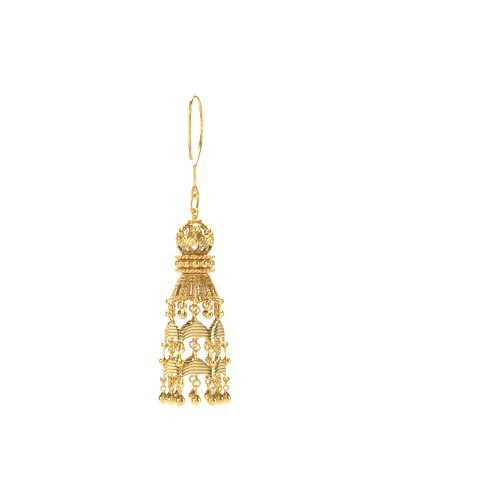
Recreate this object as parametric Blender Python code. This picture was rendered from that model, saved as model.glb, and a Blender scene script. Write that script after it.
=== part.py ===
"""A gold tassel earring: an ear hook, a swing link, and a drop with an openwork ball, a bead collar,
a woven skirt and two tiers of ribbed plates hung with polished balls.

Metres, +Z up, with the origin inside the top of the hook's arch, where the ear carries it.
The side that faces -Y is the front."""

import math
from collections import namedtuple

import bmesh
import bpy
from mathutils import Matrix, Vector

MM = 0.001

# Clearances
SEAT_GAP = 0.3 * MM
LINK_GAP = 0.1 * MM

# Ear hook
HOOK_WIRE = 0.45 * MM
HOOK_DROP = 18.5 * MM
HOOK_FRONT = 6.6 * MM
HOOK_BACK = 4.5 * MM
HOOK_TURN = math.radians(70.5)
SHAFT_LENGTH = 5.0 * MM
FLARE_HEIGHT = 0.9 * MM
FLARE_RADIUS = 0.9 * MM
HOOK_TIP_SHARE = 0.6

# Eyes at the hook's foot and on the cap, and the swing link between them
EYE_RADIUS = 0.94 * MM
EYE_WIRE = 0.36 * MM
EYE_TURN = math.radians(-40)
LINK_WIRE = 0.33 * MM
LINK_HALF_WIDTH = 1.0 * MM
LINK_LENGTH = 4.6 * MM

# Cap and openwork ball
NECK_RADIUS = 0.95 * MM
NECK_HEIGHT = 0.9 * MM
FLANGE_RADIUS = 1.75 * MM
FLANGE_HEIGHT = 0.8 * MM
FLANGE_SINK = 0.24 * MM
BALL_RADIUS = 4.9 * MM
BALL_WALL = 0.5 * MM
BALL_HEAD_RADIUS = 1.45 * MM
BALL_FOOT_RADIUS = 3.3 * MM
LEAF_RELIEF = 0.18 * MM
LEAF_ROWS = 3
SHOULDER_SHARE = 0.22
UPPER_SHARE = 0.49
LOWER_SHARE = 0.73
ROUND_HOLES = (0.78, 0.66)
DIAMOND_HOLES = (0.5, 0.66)

# Bead collar
COLLAR_HEIGHT = 4.6 * MM
COLLAR_RIM_RADIUS = 5.3 * MM
COLLAR_RIM_HEIGHT = 0.6 * MM
COLLAR_CORE_RADIUS = 4.1 * MM
COLLAR_BORE_RADIUS = 2.6 * MM
COLLAR_BEAD_RADIUS = 0.95 * MM
COLLAR_SCALLOP = 0.14 * MM
COLLAR_BEAD_INSET = 0.1 * MM
COLLAR_BEAD_ANGLES = (75, 25, -25, -75)

# Woven skirt
SKIRT_HEAD_RADIUS = 3.5 * MM
SKIRT_WALL = 0.6 * MM
SKIRT_HEIGHT = 6.7 * MM
SKIRT_TAB = 0.95 * MM
SKIRT_STRAND_RELIEF = 0.16 * MM
SKIRT_LEVELS = (0.0, 0.34, 0.72, 1.0)
SKIRT_FLARE = 0.8

# Tassel: plates, rings, lugs and balls
SIDES = 6
TIER_1_APOTHEM = 6.8 * MM
TIER_2_APOTHEM = 7.1 * MM
PLATE_GAP = 0.5 * MM
PLATE_THICKNESS = 0.4 * MM
RIB_RELIEF = 0.14 * MM
PLATE_HANG = 2.45 * MM
UPPER_PLATE_HEIGHT = 4.2 * MM
UPPER_PLATE_SHOULDER = 2.7 * MM
UPPER_PLATE_HORN = 1.6 * MM
LOWER_PLATE_HEIGHT = 4.0 * MM
LOWER_PLATE_SHOULDER = 2.4 * MM
LOWER_PLATE_HORN = 1.3 * MM
TIER_STEP = 0.15 * MM
RING_RADIUS = 0.935 * MM
RING_WIRE = 0.24 * MM
LUG_RADIUS = 0.75 * MM
LUG_WIRE = 0.17 * MM
TOP_LUG_HALF_WIDTH = 0.62 * MM
HORN_LUG_SPREAD = 0.45 * MM
HORN_LUG_OFFSET = 0.2 * MM
HORN_RING_PLAY = 0.05 * MM
SMALL_BALL_RADIUS = 1.1 * MM
NECK_WIRE = 0.26 * MM
MID_BALL_DROP = 3.4 * MM
MID_BALL_REACH = 0.48 * MM
LARGE_BALL_RADIUS = 1.36 * MM
LARGE_BALL_DROP = 4.5 * MM
BALL_LOOP_HALF_WIDTH = 0.66 * MM

# How far one piece of a soldered joint runs into the next
SOLDER = 0.1 * MM

ARCH_REACH = TIER_1_APOTHEM - 0.25 * SKIRT_WALL
LUG_HALF_HEIGHT = LUG_RADIUS * math.sin(math.radians(60))
WIRES_APART = RING_WIRE + LUG_WIRE + LINK_GAP
EYES_APART = EYE_WIRE + LINK_WIRE + LINK_GAP
CORNER = math.pi / SIDES

PlateRow = namedtuple("PlateRow", "depth relief")
PlateColumn = namedtuple("PlateColumn", "across edge slant")
PlateSize = namedtuple("PlateSize", "apothem height shoulder fullness horn top_lug_in low_lug_out")
HookPoint = namedtuple("HookPoint", "out down")

# The wire's middle line: shares of the front or back reach, and of the drop to the kink.
HOOK_LINE = [
    HookPoint(0.0, 1.0),
    HookPoint(0.30, 0.89),
    HookPoint(0.68, 0.74),
    HookPoint(0.95, 0.55),
    HookPoint(1.0, 0.40),
    HookPoint(0.84, 0.17),
    HookPoint(0.45, 0.03),
    HookPoint(0.0, 0.0),
    HookPoint(-0.62, 0.06),
    HookPoint(-0.94, 0.24),
    HookPoint(-1.0, 0.48),
    HookPoint(-0.94, 0.71),
    HookPoint(-0.70, 0.90),
]

# Rows of a plate from its top, as shares of the height to the notches, ridge and groove by turns.
PLATE_ROWS = [
    PlateRow(0.0, 0),
    PlateRow(0.18, 1),
    PlateRow(0.32, 0),
    PlateRow(0.46, 1),
    PlateRow(0.60, 0),
    PlateRow(0.74, 1),
    PlateRow(0.88, 0),
]

# Columns of a plate: place across the half width, the lower edge as a share of the way from the
# notches down to the horns, and how far the ribs slant down beside the crease.
PLATE_COLUMNS = [
    PlateColumn(-1.0, 1.0, 1.0),
    PlateColumn(-0.6, 0.1, 0.4),
    PlateColumn(-0.34, 0.0, 0.0),
    PlateColumn(0.0, 0.5, 0.0),
    PlateColumn(0.5, 0.0, 0.0),
    PlateColumn(1.0, 1.0, 0.0),
]
RIB_SLANT = 0.5 * MM

UPPER_PLATE = PlateSize(
    apothem=TIER_1_APOTHEM,
    height=UPPER_PLATE_HEIGHT,
    shoulder=UPPER_PLATE_SHOULDER,
    fullness=0.45,
    horn=UPPER_PLATE_HORN,
    top_lug_in=0.0,
    low_lug_out=TIER_STEP,
)
LOWER_PLATE = PlateSize(
    apothem=TIER_2_APOTHEM,
    height=LOWER_PLATE_HEIGHT,
    shoulder=LOWER_PLATE_SHOULDER,
    fullness=0.6,
    horn=LOWER_PLATE_HORN,
    top_lug_in=TIER_STEP,
    low_lug_out=0.0,
)


def clear_scene():
    for obj in list(bpy.data.objects):
        bpy.data.objects.remove(obj)


def metal(name, colour, roughness):
    material = bpy.data.materials.new(name)
    material.use_nodes = True
    shader = material.node_tree.nodes["Principled BSDF"]
    shader.inputs["Base Color"].default_value = (*colour, 1.0)
    shader.inputs["Metallic"].default_value = 1.0
    shader.inputs["Roughness"].default_value = roughness
    return material


def mesh_from(shape, name):
    """Turns a bmesh into a mesh whose faces point out, and frees it."""
    bmesh.ops.recalc_face_normals(shape, faces=shape.faces)
    mesh = bpy.data.meshes.new(name)
    shape.to_mesh(mesh)
    shape.free()
    return mesh


def moved(mesh, matrix):
    mesh.transform(matrix)
    return mesh


def fused(meshes):
    """One mesh with the Boolean union of several closed ones."""
    objects = []
    for mesh in meshes:
        obj = bpy.data.objects.new("piece", mesh)
        bpy.context.scene.collection.objects.link(obj)
        objects.append(obj)
    for other in objects[1:]:
        union = objects[0].modifiers.new("solder", "BOOLEAN")
        union.operation = "UNION"
        union.object = other
    bpy.context.view_layer.update()
    graph = bpy.context.evaluated_depsgraph_get()
    result = bpy.data.meshes.new_from_object(objects[0].evaluated_get(graph))
    for obj in objects:
        bpy.data.objects.remove(obj)
    return result


def place(name, mesh, material, turn=0.0, reach=0.0, height=0.0):
    """A named object, turned about Z and carried out from the axis to the front of that turn."""
    mesh.materials.clear()
    mesh.materials.append(material)
    mesh.shade_smooth()
    mesh.set_sharp_from_angle(angle=math.radians(40))
    obj = bpy.data.objects.new(name, mesh)
    obj.location = (reach * math.sin(turn), -reach * math.cos(turn), height)
    obj.rotation_euler = (0.0, 0.0, turn)
    bpy.context.scene.collection.objects.link(obj)
    return obj


def loop_points(half_width, half_height, count):
    """A round or a long loop in the XZ plane, with round ends as wide as the loop."""
    start = math.pi / count if count % 4 == 0 else 0.0
    points = []
    for index in range(count):
        angle = start + math.tau * index / count
        rise = round(math.sin(angle), 6)
        straight = math.copysign(half_height - half_width, rise) if rise else 0.0
        points.append(Vector((half_width * math.cos(angle), 0, straight + half_width * rise)))
    return points


def tube(points, wires, sides, normal, closed):
    """A wire along points that lie in one plane, with a mitre at each of them."""
    shape = bmesh.new()
    count = len(points)
    rings = []
    for index, point in enumerate(points):
        into = point - points[index - 1] if closed or index else points[1] - point
        out = points[(index + 1) % count] - point if closed or index < count - 1 else into
        along = into.normalized() + out.normalized()
        across = along.cross(normal).normalized() * (2 / along.length)
        ring = []
        for step in range(sides):
            angle = math.tau * (step + 0.5) / sides
            offset = across * math.cos(angle) + normal * math.sin(angle)
            ring.append(shape.verts.new(point + wires[index] * offset))
        rings.append(ring)
    for index in range(count if closed else count - 1):
        here, there = rings[index], rings[(index + 1) % count]
        for step in range(sides):
            after = (step + 1) % sides
            shape.faces.new((here[step], here[after], there[after], there[step]))
    if not closed:
        shape.faces.new(rings[0])
        shape.faces.new(rings[-1])
    return mesh_from(shape, "tube")


def loop(half_width, half_height, wire, count, sides, turn=0.0):
    """A closed loop of wire, standing upright in the plane that turn gives from XZ."""
    points = loop_points(half_width, half_height, count)
    mesh = tube(points, [wire] * count, sides, Vector((0, 1, 0)), True)
    return moved(mesh, Matrix.Rotation(turn, 4, "Z"))


def lug(turn=0.0):
    """A soldered loop that stands edge-on to the front, for a ring to pass through sideways."""
    return loop(LUG_RADIUS, LUG_RADIUS, LUG_WIRE, 6, 4, turn + math.pi / 2)


def long_lug(half_width, half_height):
    return loop(half_width, half_height, LUG_WIRE, 8, 4, math.pi / 2)


def sphere(radius, segments, rings, centre):
    shape = bmesh.new()
    bmesh.ops.create_uvsphere(
        shape, u_segments=segments, v_segments=rings, radius=radius, matrix=Matrix.Translation(centre)
    )
    return mesh_from(shape, "sphere")


def turned(profile, sides):
    """A solid of revolution about Z: its profile starts and ends on the axis."""
    shape = bmesh.new()
    rings = []
    for radius, height in profile:
        count = sides if radius > 0 else 1
        rings.append(
            [
                shape.verts.new(
                    (
                        radius * math.cos(math.tau * step / sides),
                        radius * math.sin(math.tau * step / sides),
                        height,
                    )
                )
                for step in range(count)
            ]
        )
    for upper, lower in zip(rings, rings[1:]):
        for step in range(sides):
            corners = [upper[step % len(upper)], upper[(step + 1) % len(upper)]]
            corners += [lower[(step + 1) % len(lower)], lower[step % len(lower)]]
            shape.faces.new(list(dict.fromkeys(corners)))
    return mesh_from(shape, "turned")


def thick_sheet(cells, outer, inner):
    """A wall between two surfaces: each cell is a face on both, and open edges get a side."""
    shape = bmesh.new()
    keys = sorted({key for cell in cells for key in cell})
    front = {key: shape.verts.new(outer(key)) for key in keys}
    back = {key: shape.verts.new(inner(key)) for key in keys}
    edges = set()
    for cell in cells:
        shape.faces.new([front[key] for key in cell])
        shape.faces.new([back[key] for key in reversed(cell)])
        edges.update(zip(cell, cell[1:] + cell[:1]))
    for start, end in edges:
        if (end, start) not in edges:
            shape.faces.new((front[end], front[start], back[start], back[end]))
    return mesh_from(shape, "sheet")


def smooth_line(points, steps):
    """Points along a Catmull-Rom curve through the given ones."""
    line = []
    for index in range(len(points) - 1):
        before = points[max(index - 1, 0)]
        start, end = points[index], points[index + 1]
        after = points[min(index + 2, len(points) - 1)]
        for step in range(steps):
            share = step / steps
            line.append(
                0.5
                * (
                    2 * start
                    + (end - before) * share
                    + (2 * before - 5 * start + 4 * end - after) * share**2
                    + (3 * start - before - 3 * end + after) * share**3
                )
            )
    return line + [points[-1]]


# Levels, from the arch down
KINK_Z = HOOK_WIRE - HOOK_DROP
SHAFT_FOOT_Z = KINK_Z - SHAFT_LENGTH
HOOK_EYE_Z = SHAFT_FOOT_Z - FLARE_HEIGHT - EYE_RADIUS
LINK_TOP_Z = HOOK_EYE_Z - EYE_RADIUS + EYES_APART
LINK_FOOT_Z = LINK_TOP_Z - LINK_LENGTH
CAP_EYE_Z = LINK_FOOT_Z + EYES_APART - EYE_RADIUS
NECK_TOP_Z = CAP_EYE_Z - EYE_RADIUS
FLANGE_TOP_Z = NECK_TOP_Z - NECK_HEIGHT
FLANGE_FOOT_Z = FLANGE_TOP_Z - FLANGE_HEIGHT
BALL_Z = FLANGE_FOOT_Z + FLANGE_SINK - math.sqrt(BALL_RADIUS**2 - BALL_HEAD_RADIUS**2)
BALL_FOOT_Z = BALL_Z - math.sqrt(BALL_RADIUS**2 - BALL_FOOT_RADIUS**2)
COLLAR_TOP_Z = BALL_FOOT_Z - SEAT_GAP
COLLAR_FOOT_Z = COLLAR_TOP_Z - COLLAR_HEIGHT
SKIRT_TOP_Z = COLLAR_FOOT_Z - SEAT_GAP
SKIRT_ARCH_Z = SKIRT_TOP_Z - SKIRT_HEIGHT
SKIRT_TAB_Z = SKIRT_ARCH_Z - SKIRT_TAB
TAB_LUG_Z = SKIRT_TAB_Z - LUG_HALF_HEIGHT + SOLDER
RING_BELOW_LUG = LUG_HALF_HEIGHT - WIRES_APART + RING_RADIUS
LUG_TOP_BELOW_RING = RING_RADIUS - WIRES_APART
TAB_RING_Z = TAB_LUG_Z - RING_BELOW_LUG
UPPER_PLATE_Z = TAB_RING_Z - LUG_TOP_BELOW_RING - PLATE_HANG
ARCH_LUG_Z = SKIRT_ARCH_Z - LUG_HALF_HEIGHT + SOLDER
ARCH_RING_Z = ARCH_LUG_Z - RING_BELOW_LUG


def low_lug_z(size):
    """The middle of the lug under a plate's centre point, below the plate's top."""
    return -size.height - 0.5 * size.horn - LUG_HALF_HEIGHT + SOLDER


def horn_lug_z(size):
    return -size.height - size.horn - LUG_HALF_HEIGHT + SOLDER


def corner_ring_reach(size):
    """How far from the axis a ring hangs that runs through the horn lugs of two neighbours."""
    beside = HORN_LUG_SPREAD * math.sin(CORNER)
    return (size.apothem + HORN_LUG_OFFSET - beside) / math.cos(CORNER)


def corner_ring_z(plate_z, size):
    wire_height = math.sqrt(RING_RADIUS**2 - HORN_LUG_SPREAD**2)
    return plate_z + horn_lug_z(size) - HORN_RING_PLAY - wire_height


CENTRE_RING_Z = UPPER_PLATE_Z + low_lug_z(UPPER_PLATE) - RING_BELOW_LUG
LOWER_PLATE_Z = CENTRE_RING_Z - LUG_TOP_BELOW_RING - PLATE_HANG
BOTTOM_RING_Z = LOWER_PLATE_Z + low_lug_z(LOWER_PLATE) - RING_BELOW_LUG
BOTTOM_BALL_Z = BOTTOM_RING_Z - LARGE_BALL_DROP
MID_RING_Z = corner_ring_z(UPPER_PLATE_Z, UPPER_PLATE)
OUTER_RING_Z = corner_ring_z(LOWER_PLATE_Z, LOWER_PLATE)


def ear_hook(material):
    line = [Vector((0, 0, SHAFT_FOOT_Z - SOLDER)), Vector((0, 0, (SHAFT_FOOT_Z + KINK_Z) / 2))]
    for point in HOOK_LINE:
        reach = HOOK_FRONT if point.out > 0 else HOOK_BACK
        line.append(Vector((point.out * reach, 0, HOOK_WIRE - point.down * HOOK_DROP)))
    points = smooth_line(line, 2)
    wires = [HOOK_WIRE] * (len(points) - 1) + [HOOK_TIP_SHARE * HOOK_WIRE]
    wire = tube(points, wires, 8, Vector((0, 1, 0)), False)
    moved(wire, Matrix.Rotation(HOOK_TURN, 4, "Z"))
    flare = turned(
        [
            (0, SHAFT_FOOT_Z + SOLDER),
            (HOOK_WIRE + 0.5 * SOLDER, SHAFT_FOOT_Z + SOLDER),
            (FLARE_RADIUS, SHAFT_FOOT_Z - 0.7 * FLARE_HEIGHT),
            (0.8 * FLARE_RADIUS, SHAFT_FOOT_Z - FLARE_HEIGHT),
            (0, SHAFT_FOOT_Z - FLARE_HEIGHT),
        ],
        10,
    )
    eye = loop(EYE_RADIUS, EYE_RADIUS, EYE_WIRE, 10, 5, EYE_TURN)
    moved(eye, Matrix.Translation((0, 0, HOOK_EYE_Z)))
    place("ear_hook", fused([wire, flare, eye]), material)


def swing_link(material):
    half_height = (LINK_TOP_Z - LINK_FOOT_Z) / 2
    mesh = loop(LINK_HALF_WIDTH, half_height, LINK_WIRE, 12, 5, EYE_TURN + math.pi / 2)
    moved(mesh, Matrix.Translation((0, 0, LINK_TOP_Z - half_height)))
    place("swing_link", mesh, material)


def pierced_tile(left, right, low, high, hole, corners):
    """Cells round a hole of four or eight corners in a tile, in turns and polar angles."""
    centre = ((left + right) / 2, (low + high) / 2)
    half = ((right - left) / 2, (high - low) / 2)
    edge, rim = [], []
    for step in range(8):
        angle = math.tau * step / 8
        rim_angle = angle if corners == 8 else math.tau * math.floor((step + 1) / 2) / 4
        side = (round(1.42 * math.cos(angle)), round(1.42 * math.sin(angle)))
        edge.append((centre[0] + side[0] * half[0], centre[1] + side[1] * half[1]))
        across = hole * half[0] * math.cos(rim_angle)
        down = hole * half[1] * math.sin(rim_angle)
        rim.append((centre[0] + across, centre[1] + down))
    cells = []
    for step in range(8):
        after = (step + 1) % 8
        cells.append([edge[step], edge[after], rim[after], rim[step]])
    return cells


def openwork_ball(material):
    """The cap and its eye are soldered on the pierced ball, so the three are one solid."""
    head = math.asin(BALL_HEAD_RADIUS / BALL_RADIUS)
    foot = math.pi - math.asin(BALL_FOOT_RADIUS / BALL_RADIUS)
    tiles = 2 * SIDES
    step = math.tau / tiles
    shoulder = head + SHOULDER_SHARE * (foot - head)
    upper = head + UPPER_SHARE * (foot - head)
    lower = head + LOWER_SHARE * (foot - head)
    cells = []

    def key(turn, polar):
        return (round(turn % math.tau, 6) % round(math.tau, 6), round(polar, 6))

    def solid_row(low, high, columns):
        for column in range(columns):
            left, right = math.tau * column / columns, math.tau * (column + 1) / columns
            cells.append([(left, low), (right, low), (right, high), (left, high)])

    solid_row(head, shoulder, 2 * tiles)
    for index in range(tiles):
        left = (index - 0.5) * step
        right = left + step
        corners = 8 if index % 2 else 4
        upper_hole, lower_hole = ROUND_HOLES if index % 2 else DIAMOND_HOLES
        cells += pierced_tile(left, right, shoulder, upper, upper_hole, corners)
        cells += pierced_tile(left, right, lower, foot, lower_hole, corners)
    for row in range(LEAF_ROWS):
        low = upper + (lower - upper) * row / LEAF_ROWS
        high = upper + (lower - upper) * (row + 1) / LEAF_ROWS
        solid_row(low, high, 2 * tiles)
    cells = [list(dict.fromkeys(key(*corner) for corner in cell)) for cell in cells]

    def at(radius, corner):
        turn, polar = corner
        return Vector(
            (
                radius * math.sin(polar) * math.sin(turn),
                -radius * math.sin(polar) * math.cos(turn),
                BALL_Z + radius * math.cos(polar),
            )
        )

    def outer(corner):
        turn, polar = corner
        share = (polar - upper) / (lower - upper)
        leaf = 0.01 < share < 0.99 and round(turn / (step / 2) + share * LEAF_ROWS) % 2
        return at(BALL_RADIUS + (LEAF_RELIEF if leaf else 0.0), corner)

    shell = thick_sheet(cells, outer, lambda corner: at(BALL_RADIUS - BALL_WALL, corner))
    cap = turned(
        [
            (0, NECK_TOP_Z),
            (NECK_RADIUS, NECK_TOP_Z),
            (0.85 * NECK_RADIUS, FLANGE_TOP_Z + 0.3 * NECK_HEIGHT),
            (FLANGE_RADIUS, FLANGE_TOP_Z),
            (1.08 * FLANGE_RADIUS, FLANGE_TOP_Z - 0.5 * FLANGE_HEIGHT),
            (FLANGE_RADIUS, FLANGE_FOOT_Z),
            (0, FLANGE_FOOT_Z),
        ],
        12,
    )
    eye = loop(EYE_RADIUS, EYE_RADIUS, EYE_WIRE, 10, 5, EYE_TURN)
    moved(eye, Matrix.Translation((0, 0, CAP_EYE_Z)))
    place("openwork_ball", fused([shell, cap, eye]), material)


def bead_collar(material):
    """A turned spool with scalloped rims and twelve beads soldered round its waist."""
    beads = 2 * SIDES
    per_bead = 3
    columns = beads * per_bead
    waist_z = (COLLAR_TOP_Z + COLLAR_FOOT_Z) / 2
    rim_low = COLLAR_TOP_Z - COLLAR_RIM_HEIGHT
    rim_high = COLLAR_FOOT_Z + COLLAR_RIM_HEIGHT
    beyond_core = COLLAR_RIM_RADIUS - COLLAR_BEAD_INSET - COLLAR_CORE_RADIUS

    def profile(column):
        scallop = COLLAR_SCALLOP * (column % 2)
        fullness = 1.0 if column % per_bead == 0 else 0.4
        rim = COLLAR_RIM_RADIUS - scallop
        points = [
            (COLLAR_BORE_RADIUS, COLLAR_TOP_Z),
            (rim, COLLAR_TOP_Z),
            (rim, rim_low),
        ]
        for degrees in COLLAR_BEAD_ANGLES:
            angle = math.radians(degrees)
            swell = beyond_core * math.cos(angle) * fullness
            points.append(
                (COLLAR_CORE_RADIUS + swell, waist_z + COLLAR_BEAD_RADIUS * math.sin(angle))
            )
        points += [
            (rim, rim_high),
            (rim, COLLAR_FOOT_Z),
            (COLLAR_BORE_RADIUS, COLLAR_FOOT_Z),
        ]
        return points

    shape = bmesh.new()
    rings = []
    for column in range(columns):
        turn = math.tau * column / columns
        rings.append(
            [
                shape.verts.new((radius * math.sin(turn), -radius * math.cos(turn), height))
                for radius, height in profile(column)
            ]
        )
    for column in range(columns):
        here, there = rings[column], rings[(column + 1) % columns]
        for row in range(len(here)):
            after = (row + 1) % len(here)
            shape.faces.new((here[row], there[row], there[after], here[after]))
    place("bead_collar", mesh_from(shape, "collar"), material)


def woven_skirt(material):
    """Eighteen woven strands side by side, parted by slots half-way down, with six tabs."""
    strands = 3 * SIDES
    columns = 3 * strands
    foot_radius = TIER_1_APOTHEM + 0.3 * SKIRT_WALL

    def radius_at(share):
        return SKIRT_HEAD_RADIUS + (foot_radius - SKIRT_HEAD_RADIUS) * share**SKIRT_FLARE

    def tab_share(column):
        """1 at the middle of a tab, 0 at the middle of an arch."""
        per_side = columns / SIDES
        away = abs((column + per_side / 2) % per_side - per_side / 2)
        return max(0.0, 1 - away / (0.37 * per_side))

    def point(key, depth):
        column, row = key
        turn = math.tau * column / columns
        drop = SKIRT_LEVELS[row] * SKIRT_HEIGHT
        if row == len(SKIRT_LEVELS) - 1:
            drop += tab_share(column) * SKIRT_TAB
        share = drop / (SKIRT_HEIGHT + SKIRT_TAB)
        relief = SKIRT_STRAND_RELIEF * (column % 3 == 0) - depth
        radius = radius_at(share) + relief
        return Vector((radius * math.sin(turn), -radius * math.cos(turn), SKIRT_TOP_Z - drop))

    cells = []
    for row in range(len(SKIRT_LEVELS) - 1):
        for column in range(columns):
            if row == 1 and column % 3 == 1:
                continue
            after = (column + 1) % columns
            cells.append([(column, row), (after, row), (after, row + 1), (column, row + 1)])
    band = thick_sheet(cells, lambda key: point(key, 0.0), lambda key: point(key, SKIRT_WALL))
    lugs = []
    for index in range(2 * SIDES):
        turn = index * CORNER
        arch = index % 2
        reach = ARCH_REACH if arch else TIER_1_APOTHEM
        height = ARCH_LUG_Z if arch else TAB_LUG_Z
        centre = (reach * math.sin(turn), -reach * math.cos(turn), height)
        lugs.append(moved(lug(turn=turn), Matrix.Translation(centre)))
    place("woven_skirt", fused([band, *lugs]), material)


def ribbed_plate(size):
    """A crescent plate with its arch up: ribs across it, two horns and a centre point below."""
    half_width = size.apothem * math.tan(CORNER) - PLATE_GAP / 2

    def point(key):
        row, column = key
        across = PLATE_COLUMNS[column]
        if row == len(PLATE_ROWS):
            return Vector((across.across * half_width, 0, -size.height - across.edge * size.horn))
        depth = PLATE_ROWS[row].depth * size.height
        shoulder = min(1.0, max(0.13, depth / size.shoulder) ** size.fullness)
        slant = across.slant * RIB_SLANT * (row > 0) * min(1.0, depth / size.shoulder)
        return Vector((across.across * half_width * shoulder, 0, -depth - slant))

    def front(key):
        ridge = key[0] < len(PLATE_ROWS) and PLATE_ROWS[key[0]].relief
        edge = PLATE_COLUMNS[key[1]].across in (-1.0, 1.0)
        lift = PLATE_THICKNESS / 2 + (RIB_RELIEF if ridge and not edge else 0.0)
        return point(key) + Vector((0, -lift, 0))

    def back(key):
        return point(key) + Vector((0, PLATE_THICKNESS / 2, 0))

    cells = []
    for row in range(len(PLATE_ROWS)):
        for column in range(len(PLATE_COLUMNS) - 1):
            cells.append([(row, column), (row + 1, column), (row + 1, column + 1), (row, column + 1)])
    blank = thick_sheet(cells, front, back)
    shape = bmesh.new()
    shape.from_mesh(blank)
    bmesh.ops.dissolve_limit(
        shape, angle_limit=math.radians(0.5), verts=shape.verts, edges=shape.edges
    )
    blank = mesh_from(shape, "plate")

    hang = PLATE_HANG / 2
    top_lug = long_lug(TOP_LUG_HALF_WIDTH, hang + SOLDER)
    moved(top_lug, Matrix.Translation((0, size.top_lug_in, hang - SOLDER)))
    low_lug = moved(lug(), Matrix.Translation((0, -size.low_lug_out, low_lug_z(size))))
    reach = corner_ring_reach(size)
    horn_x = reach * math.sin(CORNER) - HORN_LUG_SPREAD * math.cos(CORNER)
    horn_lugs = []
    for side in (-1, 1):
        centre = (side * horn_x, -HORN_LUG_OFFSET, horn_lug_z(size))
        horn_lugs.append(moved(lug(turn=side * CORNER), Matrix.Translation(centre)))
    return fused([blank, top_lug, low_lug, *horn_lugs])


def jump_ring():
    return loop(RING_RADIUS, RING_RADIUS, RING_WIRE, 10, 5)


def small_drop(drop, lean=0.0):
    """A small ball on a tapered neck, soldered to the ring that carries it, its middle at 0."""
    radius = SMALL_BALL_RADIUS
    side = radius * math.sqrt(0.5)
    profile = [
        (0, -RING_RADIUS),
        (NECK_WIRE, -RING_RADIUS),
        (1.3 * NECK_WIRE, -drop + 0.93 * radius),
        (side, -drop + side),
        (radius, -drop),
        (side, -drop - side),
        (0, -drop - radius),
    ]
    mesh = fused([jump_ring(), turned(profile, 10)])
    return moved(mesh, Matrix.Rotation(-lean, 4, "X"))


def large_drop(drop):
    """A large ball with a long loop, soldered to the ring that carries it, its middle at 0."""
    loop_top = RING_RADIUS - RING_WIRE
    half_height = (drop - LARGE_BALL_RADIUS + SOLDER - loop_top) / 2
    ball_loop = long_lug(BALL_LOOP_HALF_WIDTH, half_height)
    moved(ball_loop, Matrix.Translation((0, 0, -loop_top - half_height)))
    return fused([jump_ring(), ball_loop, sphere(LARGE_BALL_RADIUS, 10, 5, (0, 0, -drop))])


def tassel(polished, ribbed):
    upper, lower = ribbed_plate(UPPER_PLATE), ribbed_plate(LOWER_PLATE)
    ring = jump_ring()
    arch_drop = small_drop(RING_RADIUS + RING_WIRE + SMALL_BALL_RADIUS - SOLDER)
    mid_lean = math.asin(MID_BALL_REACH / MID_BALL_DROP)
    mid_drop = small_drop(MID_BALL_DROP, mid_lean)
    centre_drop = large_drop(BOTTOM_RING_Z - BOTTOM_BALL_Z)
    corner_drop = large_drop(OUTER_RING_Z - BOTTOM_BALL_Z)
    between_tiers = TIER_1_APOTHEM + UPPER_PLATE.low_lug_out
    for index in range(SIDES):
        face = index * 2 * CORNER
        corner = face + CORNER
        number = index + 1
        place(f"tab_ring_{number}", ring, polished, face, TIER_1_APOTHEM, TAB_RING_Z)
        place(f"upper_plate_{number}", upper, ribbed, face, TIER_1_APOTHEM, UPPER_PLATE_Z)
        place(f"tier_ring_{number}", ring, polished, face, between_tiers, CENTRE_RING_Z)
        place(f"lower_plate_{number}", lower, ribbed, face, TIER_2_APOTHEM, LOWER_PLATE_Z)
        place(f"centre_drop_{number}", centre_drop, polished, face, TIER_2_APOTHEM, BOTTOM_RING_Z)
        place(f"arch_drop_{number}", arch_drop, polished, corner, ARCH_REACH, ARCH_RING_Z)
        reach = corner_ring_reach(UPPER_PLATE)
        place(f"mid_drop_{number}", mid_drop, polished, corner, reach, MID_RING_Z)
        reach = corner_ring_reach(LOWER_PLATE)
        place(f"corner_drop_{number}", corner_drop, polished, corner, reach, OUTER_RING_Z)


clear_scene()
gold_polished = metal("gold_polished", (0.93, 0.68, 0.27), 0.16)
gold_ribbed = metal("gold_ribbed", (0.92, 0.68, 0.30), 0.28)
gold_filigree = metal("gold_filigree", (0.90, 0.62, 0.20), 0.24)
gold_woven = metal("gold_woven", (0.85, 0.58, 0.20), 0.36)
ear_hook(gold_polished)
swing_link(gold_polished)
openwork_ball(gold_filigree)
bead_collar(gold_filigree)
woven_skirt(gold_woven)
tassel(gold_polished, gold_ribbed)
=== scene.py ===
"""A gold tassel drop earring hanging free before a white studio ground, in metres, +Z up.
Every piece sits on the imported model's own frame, and the camera stands on the -Y side."""

import math

import bpy
from mathutils import Matrix, Vector


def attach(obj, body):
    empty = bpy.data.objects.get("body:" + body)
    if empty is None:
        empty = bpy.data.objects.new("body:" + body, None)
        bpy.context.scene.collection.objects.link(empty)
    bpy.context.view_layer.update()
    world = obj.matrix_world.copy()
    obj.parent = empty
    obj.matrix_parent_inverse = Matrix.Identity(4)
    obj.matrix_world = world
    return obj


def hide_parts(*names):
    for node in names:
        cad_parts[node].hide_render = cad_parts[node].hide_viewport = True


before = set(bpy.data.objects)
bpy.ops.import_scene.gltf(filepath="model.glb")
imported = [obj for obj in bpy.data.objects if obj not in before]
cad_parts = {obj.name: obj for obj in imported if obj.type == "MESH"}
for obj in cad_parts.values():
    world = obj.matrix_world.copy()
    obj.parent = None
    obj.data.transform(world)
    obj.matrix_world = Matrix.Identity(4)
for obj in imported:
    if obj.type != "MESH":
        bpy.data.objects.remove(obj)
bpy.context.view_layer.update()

# Ear hook: a round gold wire drawn thin, bent into a long open hook with a kink below it, its
# free end cut square and rounded. Its foot is soldered into a small flared cone with an eye.
MM = 0.001
solder = 0.1 * MM
hook_wire = 0.45 * MM
hook_drop = 18.5 * MM
hook_plane = math.radians(70.5)
eye_plane = math.radians(-40)
eye_radius = 0.94 * MM
eye_wire = 0.36 * MM
eye_wire_shown = 1.12 * eye_wire
kink_z = hook_wire - hook_drop
shaft_length = 5.0 * MM
shaft_foot_z = kink_z - shaft_length
flare_height = 0.9 * MM
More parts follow.
